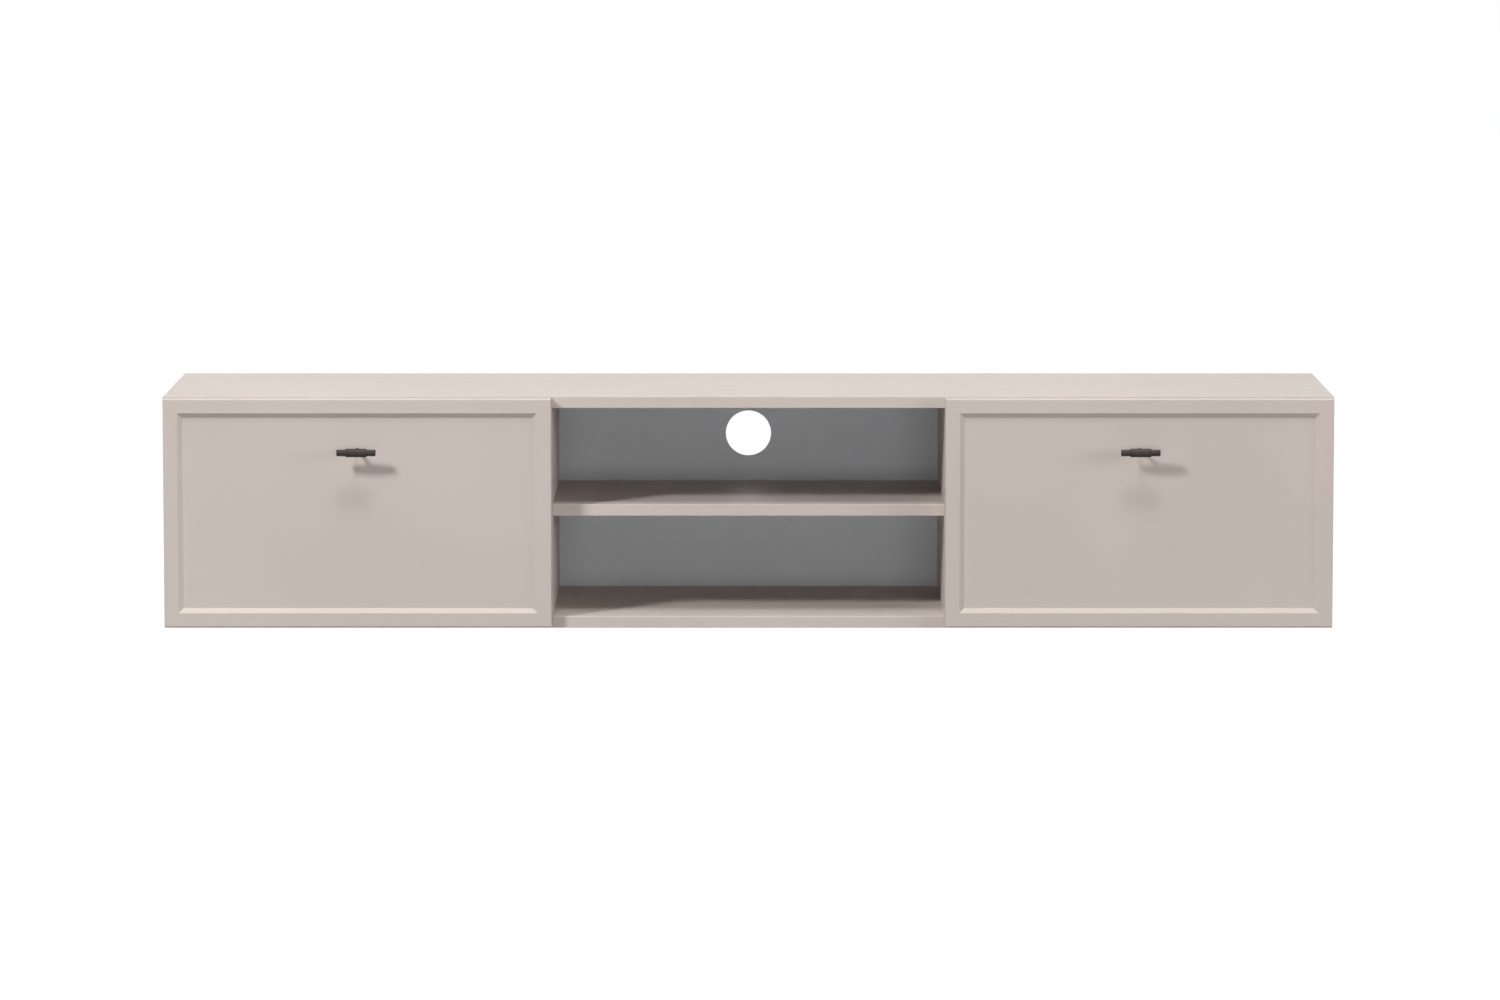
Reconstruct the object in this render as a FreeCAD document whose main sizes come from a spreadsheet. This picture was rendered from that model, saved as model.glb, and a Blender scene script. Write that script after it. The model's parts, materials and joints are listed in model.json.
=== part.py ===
import FreeCAD, Part
import math
import os
import re
import Sketcher

# Wall-hung media console: an open niche with a shelf between two closed compartments, each shut by
# a drop-down flap on pin hinges and carried, when open, by two sliding-rod stays.
# Millimetres. +X right, +Y towards the wall, +Z up. The origin lies on the wall, in the middle of
# the hanging rail's row of screw holes.

# ---------------------------------------------------------------- driving dimensions
SIZES = {
    # carcass
    "width": 1800.0,
    "height": 358.0,
    "depth": 400.0,
    "board": 18.0,
    "edge_round": 1.0,
    "niche_width": 604.0,
    "shelf_board": 18.0,
    "shelf_setback": 30.0,
    "shelf_back_gap": 1.0,
    # back panel
    "back_board": 3.0,
    "wall_recess": 13.0,
    "groove_depth": 6.0,
    "groove_play": 0.2,
    "groove_end_gap": 0.5,
    "cable_radius": 36.0,
    # loose tongues that join the boards
    "tongue_sheet": 4.0,
    "tongue_reach": 8.0,
    "tongue_front_inset": 30.0,
    "tongue_rear_inset": 20.0,
    "tongue_play": 0.1,
    "tongue_end_gap": 0.5,
    # hanging rail on the wall
    "rail_drop": 47.0,
    "rail_sheet": 2.0,
    "rail_web": 18.0,
    "rail_joggle": 4.0,
    "rail_lip": 8.0,
    "rail_stand": 6.0,
    "rail_end_gap": 12.0,
    "rail_hole_radius": 3.25,
    "rail_hole_inner": 300.0,
    "rail_hole_middle": 600.0,
    "rail_hole_inset": 40.0,
    # cabinet hangers in the top back corners of the compartments
    "hanger_width": 24.0,
    "hanger_depth": 40.0,
    "hanger_height": 58.0,
    "hanger_top_gap": 2.0,
    "hanger_bevel": 12.0,
    "hanger_chamfer": 1.5,
    "hanger_lug": 16.0,
    "hanger_lug_sheet": 2.5,
    "hook_width": 14.0,
    "hook_arm": 6.0,
    "hook_sheet": 3.0,
    "hook_drop": 7.0,
    "hook_inside": 12.0,
    "hook_play": 0.3,
    "notch_play": 3.0,
    # drop-down flaps
    "flap_board": 22.0,
    "flap_gap": 2.0,
    "flap_top_gap": 1.5,
    "flap_bottom_gap": 3.5,
    "flap_outer_gap": 1.5,
    "flap_niche_gap": 0.5,
    "flap_round": 2.0,
    "flap_border": 22.0,
    "flap_bevel": 7.5,
    "flap_recess": 5.0,
    # bar handles
    "handle_drop": 82.0,
    "handle_stand": 32.0,
    "bar_length": 60.0,
    "bar_radius": 5.0,
    "bar_play": 0.05,
    "sleeve_length": 32.5,
    "sleeve_radius": 6.5,
    "stem_radius": 4.0,
    "bolt_radius": 2.0,
    "bolt_play": 0.1,
    "bolt_in_stem": 12.0,
    "bolt_end_gap": 1.0,
    "bolt_head_half_width": 3.5,
    "bolt_head": 2.8,
    # flap hinges
    "hinge_offset": 190.0,
    "hinge_length": 60.0,
    "hinge_clear": 0.2,
    "leaf_sheet": 0.9,
    "leaf_height": 14.0,
    "pin_radius": 0.8,
    "pin_play": 0.05,
    "pin_back": 0.2,
    # magnetic catches and their strike plates
    "catch_width": 36.0,
    "catch_depth": 20.0,
    "catch_height": 11.0,
    "catch_play": 0.3,
    "catch_lug": 9.0,
    "catch_lug_sheet": 2.0,
    "catch_lug_depth": 12.0,
    "pole_gap": 12.0,
    "pole_slot": 3.0,
    "pole_slot_depth": 1.5,
    "strike_width": 44.0,
    "strike_height": 14.0,
    "strike_sheet": 1.2,
    # bumpers on the flaps
    "bumper_size": 8.0,
    "bumper_play": 0.3,
    "bumper_drop": 30.0,
    # sliding-rod stays
    "stay_radius": 150.0,
    "stay_angle": 38.0,
    "stay_opening": 90.0,
    "bracket_reach": 14.0,
    "bracket_sheet": 2.0,
    "bracket_half_length": 22.0,
    "ear_radius": 6.0,
    "ear_gap": 0.3,
    "eye_pin_radius": 2.5,
    "eye_radius": 5.0,
    "eye_half_width": 3.3,
    "eye_play": 0.05,
    "rod_radius": 3.0,
    "rod_play": 0.05,
    "nut_half_width": 5.0,
    "nut_length": 5.0,
    "nut_play": 0.3,
    "base_sheet": 1.5,
    "base_rise": 6.5,
    "base_half_width": 11.0,
    "base_half_hat": 14.0,
    "base_half_length": 30.0,
    "trunnion_radius": 4.0,
    "trunnion_head_half_width": 5.2,
    "trunnion_head": 1.5,
    "trunnion_play": 0.05,
    "brake_gap": 0.3,
    "brake_half_length": 18.0,
    "brake_half_height": 10.0,
    "brake_width": 18.0,
    "brake_chamfer": 4.0,
}

# Worked-out places, as sheet formulas of the sizes above
PLACES = {
    "front": "-depth",
    "top": "rail_drop",
    "bottom": "top - height",
    "ceiling": "top - board",
    "ground": "bottom + board",
    "half_width": "width / 2",
    "side_face": "half_width - board",
    "niche_face": "niche_width / 2",
    "room_face": "niche_face + board",
    "room_middle": "(room_face + side_face) / 2",
    "panel_back": "-wall_recess",
    "panel_front": "panel_back - back_board",
    "tongue_front": "front + tongue_front_inset",
    "tongue_rear": "panel_front - tongue_rear_inset",
    "shelf_front": "front + shelf_setback",
    "shelf_rear": "panel_front - shelf_back_gap",
    "shelf_middle": "(ceiling + ground) / 2",
    "shelf_top": "shelf_middle + shelf_board / 2",
    "shelf_under": "shelf_middle - shelf_board / 2",
    "shelf_tongue_front": "shelf_front + tongue_front_inset",
    "shelf_tongue_rear": "shelf_rear - tongue_rear_inset",
    "cable_height": "(ceiling + shelf_top) / 2",
    "rail_half": "side_face - rail_end_gap",
    "rail_hole_outer": "rail_half - rail_hole_inset",
    "lip_low": "rail_web / 2 + rail_joggle",
    "lip_top": "lip_low + rail_lip",
    "hanger_top": "ceiling - hanger_top_gap",
    "hanger_foot": "hanger_top - hanger_height",
    "hanger_front": "panel_front - hanger_depth",
    "hook_front": "-rail_stand + hook_play",
    "flap_inner": "front - flap_gap",
    "flap_face": "flap_inner - flap_board",
    "flap_floor": "flap_face + flap_recess",
    "flap_top": "top - flap_top_gap",
    "flap_foot": "bottom + flap_bottom_gap",
    "flap_width": "half_width - flap_outer_gap - niche_face - flap_niche_gap",
    "flap_middle": "half_width - flap_outer_gap - flap_width / 2",
    "bevel_slope": "-atan(flap_bevel / flap_recess) / 1 deg",
    "handle_height": "top - handle_drop",
    "bolt_wall": "flap_inner - flap_floor",
    "hinge_y": "flap_inner + pin_back",
    "hinge_z": "bottom + flap_bottom_gap / 2",
    "knuckle_radius": "min(flap_bottom_gap / 2; flap_gap - pin_back) - hinge_clear",
    "leaf_foot": "knuckle_radius + hinge_clear",
    "leaf_half": "(hinge_length - hinge_clear) / 2",
    "carcass_leaf_y": "front - hinge_y",
    "flap_leaf_y": "flap_inner - hinge_y",
    "catch_front": "flap_inner + strike_sheet + catch_play",
    "catch_middle": "catch_front + catch_depth / 2",
    "strike_z": "ceiling - catch_height / 2",
    "bracket_y": "bracket_reach - pin_back",
    "bracket_z": "sqrt(stay_radius ^ 2 - bracket_y ^ 2)",
    "bracket_angle": "asin(bracket_y / stay_radius) / 1 deg",
    "pivot_y": "stay_radius * sin(stay_angle)",
    "pivot_z": "stay_radius * cos(stay_angle)",
    "rod_slope": "-(bracket_angle + stay_angle) / 2",
    "open_reach": "2 * stay_radius * sin((stay_angle - bracket_angle + stay_opening) / 2)",
    "nut_start": "open_reach + brake_half_length + nut_play",
    "rod_end": "nut_start + nut_length",
    "head_start": "base_rise - base_sheet - brake_gap",
    "brake_near": "base_rise + brake_gap",
    "brake_far": "brake_near + brake_width",
    "rod_place": "brake_near + brake_width / 2",
    "eye_near": "rod_place - eye_half_width",
    "eye_far": "rod_place + eye_half_width",
    "ear_near": "eye_near - ear_gap",
    "ear_far": "eye_far + ear_gap",
}

doc = FreeCAD.newDocument("media_console")
sheet = doc.addObject("Spreadsheet::Sheet", "Sizes")
rows = [(alias, str(size)) for alias, size in SIZES.items()]
rows += [(alias, "=" + formula) for alias, formula in PLACES.items()]
for row, (alias, content) in enumerate(rows, start=1):
    sheet.set(f"A{row}", alias)
    sheet.set(f"B{row}", content)
    sheet.setAlias(f"B{row}", alias)
doc.recompute()

# ---------------------------------------------------------------- helpers
# two places, in mm, or two volumes, in mm3, closer than this are the same
SAME = 0.001


def bind(text):
    """Expression text in which each word is a cell of the sheet."""
    return re.sub(r"[a-z][a-z_]+", lambda word: "Sizes." + word.group(), text)


def value(text):
    """Number that an expression in the sheet's words comes to."""
    return float(sheet.evalExpression(bind(text)))


def new_body(label, x="0", y="0", z="0"):
    """Empty body, placed by expressions."""
    body = doc.addObject("PartDesign::Body", label)
    body.Label = label
    for axis, text in zip("xyz", (x, y, z)):
        body.setExpression(f".Placement.Base.{axis}", bind(text))
    return body


def lean(body, angle):
    """Turn a body about its own X axis by an expression in degrees."""
    turn = FreeCAD.Rotation(FreeCAD.Vector(1, 0, 0), value(angle))
    body.Placement = FreeCAD.Placement(body.Placement.Base, turn)
    body.setExpression(".Placement.Rotation.Angle", bind(angle))


def sketch(body, plane, offset):
    """Sketch on an origin plane of the body, moved to the given coordinate along its axis."""
    page = body.newObject("Sketcher::SketchObject", body.Name + "_sketch")
    planes = {item.Role: item for item in body.Origin.OriginFeatures}
    page.AttachmentSupport = (planes[plane + "_Plane"], "")
    page.MapMode = "FlatFace"
    # the XZ plane looks along -Y, so its offset changes sign
    along = f"-({offset})" if plane == "XZ" else offset
    page.setExpression(".AttachmentOffset.Base.z", bind(along))
    return page


def hold(page, geometry, point, place):
    """Hold one point of a sketch at an (x, y) pair of expressions."""
    for kind, text in zip(("DistanceX", "DistanceY"), place):
        rule = Sketcher.Constraint(kind, -1, 1, geometry, point, value(text))
        page.setExpression(f"Constraints[{page.addConstraint(rule)}]", bind(text))


def draw_circle(page, x, y, radius):
    """Circle whose centre and radius are expressions."""
    centre = FreeCAD.Vector(value(x), value(y), 0)
    ring = Part.Circle(centre, FreeCAD.Vector(0, 0, 1), value(radius))
    geometry = page.addGeometry(ring, False)
    hold(page, geometry, 3, (x, y))
    rule = Sketcher.Constraint("Radius", geometry, value(radius))
    page.setExpression(f"Constraints[{page.addConstraint(rule)}]", bind(radius))


def draw_polygon(page, corners):
    """Closed outline whose corners are pairs of expressions."""
    points = [FreeCAD.Vector(value(x), value(y), 0) for x, y in corners]
    ends = points[1:] + points[:1]
    lines = [page.addGeometry(Part.LineSegment(a, b), False) for a, b in zip(points, ends)]
    for line, follower in zip(lines, lines[1:] + lines[:1]):
        page.addConstraint(Sketcher.Constraint("Coincident", line, 2, follower, 1))
    for line, corner in zip(lines, corners):
        hold(page, line, 1, corner)


def draw(page, outlines):
    """Draw circles, given as (x, y, radius), and polygons, given as lists of corners."""
    for outline in outlines:
        if isinstance(outline, tuple):
            draw_circle(page, *outline)
        else:
            draw_polygon(page, outline)


def box(x_low, y_low, x_high, y_high):
    """Corners of an upright rectangle."""
    return [(x_low, y_low), (x_high, y_low), (x_high, y_high), (x_low, y_high)]


def square(x, y, half_x, half_y):
    """Corners of a rectangle about a middle."""
    return box(f"{x} - ({half_x})", f"{y} - ({half_y})", f"{x} + {half_x}", f"{y} + {half_y}")


def polygon(sides, x, y, half_width):
    """Corners of a regular polygon, half_width from its middle to each flat."""
    steps = [2 * math.pi * number / sides for number in range(sides)]
    corner = 1 / math.cos(math.pi / sides)
    return [
        (
            f"{x} + ({corner * math.cos(step):.9f}) * ({half_width})",
            f"{y} + ({corner * math.sin(step):.9f}) * ({half_width})",
        )
        for step in steps
    ]


def add(body, plane, low, high, outlines):
    """Pad outlines from the coordinate low to the coordinate high along the plane's axis."""
    page = sketch(body, plane, low)
    draw(page, outlines)
    pad = body.newObject("PartDesign::Pad", body.Name + "_pad")
    pad.Profile = page
    pad.Reversed = plane == "XZ"
    pad.setExpression("Length", bind(f"({high}) - ({low})"))
    doc.recompute()


def cut(body, plane, low, high, outlines, taper=None):
    """Pocket outlines from low to high along the plane's axis.

    A tapered pocket has its full size at low and narrows towards high."""
    before = body.Shape.Volume
    page = sketch(body, plane, low)
    draw(page, outlines)
    pocket = body.newObject("PartDesign::Pocket", body.Name + "_pocket")
    pocket.Profile = page
    pocket.Reversed = plane != "XZ"
    pocket.setExpression("Length", bind(f"({high}) - ({low})"))
    if taper:
        pocket.setExpression("TaperAngle", bind(taper))
    doc.recompute()
    if body.Shape.Volume > before - SAME:
        raise ValueError(f"{pocket.Name} removes nothing")


def revolve(body, outlines):
    """Turn outlines, drawn above the body's own X axis in its XZ plane, about that axis."""
    page = sketch(body, "XZ", "0")
    draw(page, outlines)
    turn = body.newObject("PartDesign::Revolution", body.Name + "_turn")
    turn.Profile = page
    turn.ReferenceAxis = (page, ["H_Axis"])
    turn.Angle = 360.0
    doc.recompute()


def lies_at(edge, **places):
    """True for an edge that lies wholly at the given X, Y or Z, written as expressions."""
    bounds = edge.BoundBox
    return all(
        abs(getattr(bounds, axis + end) - value(place)) < SAME
        for axis, place in places.items()
        for end in ("Min", "Max")
    )


def dress(body, kind, size, chosen):
    """Fillet or chamfer the edges for which chosen(edge) is true."""
    base = body.Tip
    names = [f"Edge{i}" for i, edge in enumerate(base.Shape.Edges, start=1) if chosen(edge)]
    feature = body.newObject("PartDesign::" + kind, f"{body.Name}_{kind.lower()}")
    feature.Base = (base, names)
    feature.setExpression("Radius" if kind == "Fillet" else "Size", bind(size))
    doc.recompute()


def span(direction, near, far):
    """Low and high ends of a stretch that runs from near to far along +X, or along -X."""
    if direction > 0:
        return near, far
    return f"-({far})", f"-({near})"


def reach(start, direction, length):
    """Low and high ends of a stretch of a length that begins at start and runs up or down."""
    if direction > 0:
        return start, f"{start} + {length}"
    return f"{start} - ({length})", start


# ---------------------------------------------------------------- what stands where
SIDES = {"left": -1, "right": 1}
BOTH_WAYS = (-1, 1)
# the four board faces inside the compartments: place along X and the way into the compartment
INNER_FACES = {
    "left_outer": ("-side_face", 1),
    "left_inner": ("-room_face", -1),
    "right_inner": ("room_face", 1),
    "right_outer": ("side_face", -1),
}
STAYS = {"left": ("left_outer", "left_inner"), "right": ("right_outer", "right_inner")}
UPRIGHTS = [f"{way} * ({face} + board / 2)" for way in BOTH_WAYS for face in ("niche_face", "side_face")]
HINGES = [f"{way} * hinge_offset" for way in BOTH_WAYS]
CARCASS_HINGES = [f"{way} * flap_middle + {hinge}" for way in BOTH_WAYS for hinge in HINGES]
# a hinge pin and its bore are so thin that this many flats make them round enough
PIN_SIDES = 12


# ---------------------------------------------------------------- boards of the carcass
def tongue_slot(middle):
    """Slot for a loose tongue, seen along Z, in a long board or in the end of an upright."""
    half = "tongue_sheet / 2 + tongue_play"
    gap = "tongue_end_gap"
    return box(
        f"{middle} - ({half})", f"tongue_front - {gap}", f"{middle} + {half}", f"tongue_rear + {gap}"
    )


def long_board(label, outer, inner, inward):
    """Top or bottom panel: grooved for the back panel and for the tongues of the uprights."""
    body = new_body(label)
    low, high = (outer, inner) if inward > 0 else (inner, outer)
    add(body, "XY", low, high, [box("-half_width", "front", "half_width", "0")])
    groove_end = "side_face + groove_depth"
    groove = box(f"-({groove_end})", "panel_front", groove_end, "panel_back + groove_play")
    cut(body, "XY", *reach(inner, -inward, "groove_depth"), [groove])
    slots = [tongue_slot(middle) for middle in UPRIGHTS]
    cut(body, "XY", *reach(inner, -inward, "tongue_reach + tongue_end_gap"), slots)
    dress(
        body,
        "Fillet",
        "edge_round",
        lambda edge: lies_at(edge, X="half_width", Z=outer)
        or lies_at(edge, X="-half_width", Z=outer)
        or lies_at(edge, Y="front", Z=outer)
        or lies_at(edge, Y="front", Z=inner),
    )


def upright(label, face, direction, rear):
    """Side or partition: its compartment face lies at face, and its board the other way."""
    body = new_body(label, x=face)
    add(body, "YZ", *span(-direction, "0", "board"), [box("front", "ground", rear, "ceiling")])
    slot = tongue_slot(f"{-direction} * board / 2")
    for end, inward in (("ground", 1), ("ceiling", -1)):
        cut(body, "XY", *reach(end, inward, "tongue_reach + tongue_end_gap"), [slot])
    return body


def ease_front_edge(body, x):
    """Round the upright front edge that lies at x in the body."""
    dress(body, "Fillet", "edge_round", lambda edge: lies_at(edge, X=x, Y="front"))


def make_side_panel(side):
    """Outer side, which runs back to the wall and is grooved for the back panel."""
    face, direction = INNER_FACES[side + "_outer"]
    body = upright(side + "_side_panel", face, direction, "0")
    groove = box("panel_front", "ground", "panel_back + groove_play", "ceiling")
    cut(body, "YZ", *span(-direction, "0", "groove_depth"), [groove])
    ease_front_edge(body, f"{-direction} * board")


def cut_shelf_slots(body, stretches):
    """Cut a slot for a shelf's tongue at each stretch along X, given as its low and high ends."""
    half, gap = "tongue_sheet / 2 + tongue_play", "tongue_end_gap"
    slots = [
        box(low, f"shelf_middle - ({half})", high, f"shelf_middle + {half}") for low, high in stretches
    ]
    cut(body, "XZ", f"shelf_tongue_front - {gap}", f"shelf_tongue_rear + {gap}", slots)


def make_partition(side):
    """Partition beside the niche, which stops at the back panel and carries the shelf."""
    face, direction = INNER_FACES[side + "_inner"]
    body = upright(side + "_partition", face, direction, "panel_front")
    cut_shelf_slots(body, [span(-direction, "board - tongue_reach - tongue_end_gap", "board")])
    ease_front_edge(body, f"{-direction} * board")


def make_joint_tongues():
    """Loose tongues glued into the slots, one at each end of each upright and of the shelf."""
    body = new_body("joint_tongues")
    half = "tongue_sheet / 2"
    for face in ("ground", "ceiling"):
        outlines = [box(f"{x} - {half}", "tongue_front", f"{x} + {half}", "tongue_rear") for x in UPRIGHTS]
        add(body, "XY", f"{face} - tongue_reach", f"{face} + tongue_reach", outlines)
    ends = [square(f"{way} * niche_face", "shelf_middle", "tongue_reach", half) for way in BOTH_WAYS]
    add(body, "XZ", "shelf_tongue_front", "shelf_tongue_rear", ends)


def make_back_panel():
    """Thin back in the grooves, with the cable hole and a notch for each hanger's hook."""
    body = new_body("back_panel")
    inside = "groove_depth - groove_end_gap"
    half, high = f"side_face + {inside}", f"ceiling + {inside}"
    outline = box(f"-({half})", f"ground - ({inside})", half, high)
    add(body, "XZ", "panel_front", "panel_back", [outline])
    cut(body, "XZ", "panel_front", "panel_back", [("0", "cable_height", "cable_radius")])
    low, wide = "lip_top - hook_drop - notch_play", "hook_width / 2 + notch_play"
    notches = []
    for face, direction in INNER_FACES.values():
        middle = f"{face} + {direction} * hanger_width / 2"
        notches.append(box(f"{middle} - ({wide})", low, f"{middle} + {wide}", high))
    cut(body, "XZ", "panel_front", "panel_back", notches)


def make_middle_shelf():
    """Shelf of the niche, slotted at both ends for its tongues."""
    body = new_body("middle_shelf")
    outline = box("-niche_face", "shelf_front", "niche_face", "shelf_rear")
    add(body, "XY", "shelf_under", "shelf_top", [outline])
    depth = "niche_face - tongue_reach - tongue_end_gap"
    cut_shelf_slots(body, [span(way, depth, "niche_face") for way in BOTH_WAYS])
    dress(
        body,
        "Fillet",
        "edge_round",
        lambda edge: lies_at(edge, Y="shelf_front", Z="shelf_top")
        or lies_at(edge, Y="shelf_front", Z="shelf_under"),
    )


# ---------------------------------------------------------------- wall rail and hangers
def make_wall_rail():
    """Steel rail screwed to the wall: a flat web, a joggle and a lip that stands off the wall."""
    body = new_body("wall_rail")
    profile = [
        ("0", "-rail_web / 2"),
        ("0", "rail_web / 2"),
        ("-rail_stand", "lip_low"),
        ("-rail_stand", "lip_top"),
        ("-rail_stand - rail_sheet", "lip_top"),
        ("-rail_stand - rail_sheet", "lip_low"),
        ("-rail_sheet", "rail_web / 2"),
        ("-rail_sheet", "-rail_web / 2"),
    ]
    add(body, "YZ", "-rail_half", "rail_half", [profile])
    places = ("rail_hole_inner", "rail_hole_middle", "rail_hole_outer")
    holes = [(f"{way} * {x}", "0", "rail_hole_radius") for x in places for way in BOTH_WAYS]
    cut(body, "XZ", "-rail_sheet", "0", holes)


def make_hanger(name):
    """Hanger housing with a lug that is screwed to the board, and a slot for the hook."""
    face, direction = INNER_FACES[name]
    body = new_body(name + "_hanger", x=face)
    outline = [
        ("hanger_front", "hanger_top"),
        ("panel_front", "hanger_top"),
        ("panel_front", "hanger_foot"),
        ("hanger_front + hanger_bevel", "hanger_foot"),
        ("hanger_front", "hanger_foot + hanger_bevel"),
    ]
    add(body, "YZ", *span(direction, "0", "hanger_width"), [outline])
    far = f"{direction} * hanger_width"
    dress(body, "Chamfer", "hanger_chamfer", lambda edge: lies_at(edge, X=far))
    lug = box("hanger_front + hanger_bevel", "hanger_foot - hanger_lug", "panel_front", "hanger_foot")
    add(body, "YZ", *span(direction, "0", "hanger_lug_sheet"), [lug])
    slot = square(
        f"{direction} * hanger_width / 2",
        "lip_top + hook_arm / 2",
        "hook_width / 2 + hook_play",
        "hook_arm / 2 + hook_play",
    )
    cut(body, "XZ", "panel_front - hook_inside - hook_play", "panel_front", [slot])


def make_hanger_hooks():
    """Steel hooks that reach through the back panel and drop behind the rail's lip."""
    body = new_body("hanger_hooks")
    profile = [
        ("panel_front - hook_inside", "lip_top"),
        ("hook_front", "lip_top"),
        ("hook_front", "lip_top - hook_drop"),
        ("hook_front + hook_sheet", "lip_top - hook_drop"),
        ("hook_front + hook_sheet", "lip_top + hook_arm"),
        ("panel_front - hook_inside", "lip_top + hook_arm"),
    ]
    for face, direction in INNER_FACES.values():
        middle = f"{face} + {direction} * hanger_width / 2"
        add(body, "YZ", f"{middle} - hook_width / 2", f"{middle} + hook_width / 2", [profile])


# ---------------------------------------------------------------- hinges
def knuckles(middle, own, foot, height):
    """Outlines of a leaf's own knuckles; the three of a hinge are numbered -1, 0 and 1."""
    length, gap = "hinge_length / 3", "hinge_clear / 2"
    return [
        box(
            f"{middle} + ({number} - 0.5) * {length} + {gap}",
            foot,
            f"{middle} + ({number} + 0.5) * {length} - {gap}",
            height,
        )
        for number in own
    ]


def hinge_leaves(label, x, middles, plate, own):
    """Leaves of one kind, on a body whose own X axis is the hinge pins' axis."""
    body = new_body(label, x=x, y="hinge_y", z="hinge_z")
    plates = [
        box(f"{middle} - leaf_half", "leaf_foot", f"{middle} + leaf_half", "leaf_height")
        for middle in middles
    ]
    add(body, "XZ", *plate, plates)
    roots = [root for middle in middles for root in knuckles(middle, own, "0", "leaf_foot")]
    add(body, "XZ", *plate, roots)
    revolve(body, [k for middle in middles for k in knuckles(middle, own, "0", "knuckle_radius")])
    ends = f"{middles[0]} - hinge_length", f"{middles[-1]} + hinge_length"
    cut(body, "YZ", *ends, [polygon(PIN_SIDES, "0", "0", "pin_radius + pin_play")])


def make_hinges():
    """Carcass leaves, flap leaves and pins of the four hinges."""
    plate = "carcass_leaf_y - leaf_sheet", "carcass_leaf_y"
    hinge_leaves("carcass_hinge_leaves", "0", CARCASS_HINGES, plate, BOTH_WAYS)
    plate = "flap_leaf_y", "flap_leaf_y + leaf_sheet"
    for side, way in SIDES.items():
        hinge_leaves(side + "_flap_hinge_leaves", f"{way} * flap_middle", HINGES, plate, (0,))
    pins = new_body("hinge_pins", y="hinge_y", z="hinge_z")
    for x in CARCASS_HINGES:
        outline = polygon(PIN_SIDES, "0", "0", "pin_radius")
        add(pins, "YZ", f"{x} - leaf_half", f"{x} + leaf_half", [outline])


# ---------------------------------------------------------------- catches
def make_magnet_catch(side, way):
    """Magnetic catch under the top panel: a block with two lugs, and slots beside its poles."""
    body = new_body(side + "_magnet_catch", x=f"{way} * room_middle")
    half = "catch_width / 2"
    block = box(f"-{half}", "catch_front", half, "catch_front + catch_depth")
    add(body, "XY", "ceiling - catch_height", "ceiling", [block])
    lugs = square("0", "catch_middle", f"{half} + catch_lug", "catch_lug_depth / 2")
    add(body, "XY", "ceiling - catch_lug_sheet", "ceiling", [lugs])
    slots = [
        box(
            f"{end} * pole_gap / 2 - pole_slot / 2",
            "ceiling - catch_height",
            f"{end} * pole_gap / 2 + pole_slot / 2",
            "ceiling - catch_lug_sheet",
        )
        for end in BOTH_WAYS
    ]
    cut(body, "XZ", "catch_front", "catch_front + pole_slot_depth", slots)


def make_strike_plate(side, way):
    """Steel plate on the flap, which the catch's magnet holds."""
    body = new_body(side + "_strike_plate", x=f"{way} * room_middle", y="flap_inner", z="strike_z")
    outline = square("0", "0", "strike_width / 2", "strike_height / 2")
    add(body, "XZ", "0", "strike_sheet", [outline])


def make_bumpers(side, way):
    """Soft pads that meet the front edges of the uprights."""
    body = new_body(side + "_bumpers", y="flap_inner")
    half = "bumper_size / 2"
    outlines = [
        square(f"{way} * ({face} + board / 2)", "flap_top - bumper_drop", half, half)
        for face in ("side_face", "niche_face")
    ]
    add(body, "XZ", "0", "flap_gap - bumper_play", outlines)


# ---------------------------------------------------------------- flaps
def make_flap_panel(side, way):
    """Milled front: a slim border, a sloping bevel and a sunk field."""
    body = new_body(side + "_flap_panel", x=f"{way} * flap_middle")
    half, inset = "flap_width / 2", "flap_border"
    add(body, "XZ", "flap_face", "flap_inner", [box(f"-{half}", "flap_foot", half, "flap_top")])
    dress(body, "Fillet", "flap_round", lambda edge: lies_at(edge, Y="flap_face"))
    field = box(
        f"-({half} - {inset})", f"flap_foot + {inset}", f"{half} - {inset}", f"flap_top - {inset}"
    )
    cut(body, "XZ", "flap_face", "flap_floor", [field], "bevel_slope")
    hole = ("0", "handle_height", "bolt_radius + bolt_play")
    cut(body, "XZ", "flap_floor", "flap_inner", [hole])


def make_handle(side, way):
    """Bar handle: a thin bar through a thicker sleeve, on a stem bolted from inside."""
    place = {"x": f"{way} * flap_middle", "y": "flap_floor", "z": "handle_height"}
    axis = "-handle_stand"
    bar = new_body(side + "_handle_bar", **place)
    add(bar, "YZ", "-bar_length / 2", "bar_length / 2", [(axis, "0", "bar_radius")])

    sleeve = new_body(side + "_handle_sleeve", **place)
    ends = "-sleeve_length / 2", "sleeve_length / 2"
    add(sleeve, "YZ", *ends, [(axis, "0", "sleeve_radius")])
    cut(sleeve, "YZ", *ends, [(axis, "0", "bar_radius + bar_play")])

    stem = new_body(side + "_handle_stem", **place)
    add(stem, "XZ", axis, "0", [("0", "0", "stem_radius")])
    cut(stem, "YZ", "-stem_radius", "stem_radius", [(axis, "0", "sleeve_radius")])
    hole = ("0", "0", "bolt_radius + bolt_play")
    cut(stem, "XZ", "-bolt_in_stem - bolt_end_gap", "0", [hole])

    bolt = new_body(side + "_handle_bolt", **place)
    add(bolt, "XZ", "-bolt_in_stem", "bolt_wall", [("0", "0", "bolt_radius")])
    head = polygon(6, "0", "0", "bolt_head_half_width")
    add(bolt, "XZ", "bolt_wall", "bolt_wall + bolt_head", [head])


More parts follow.
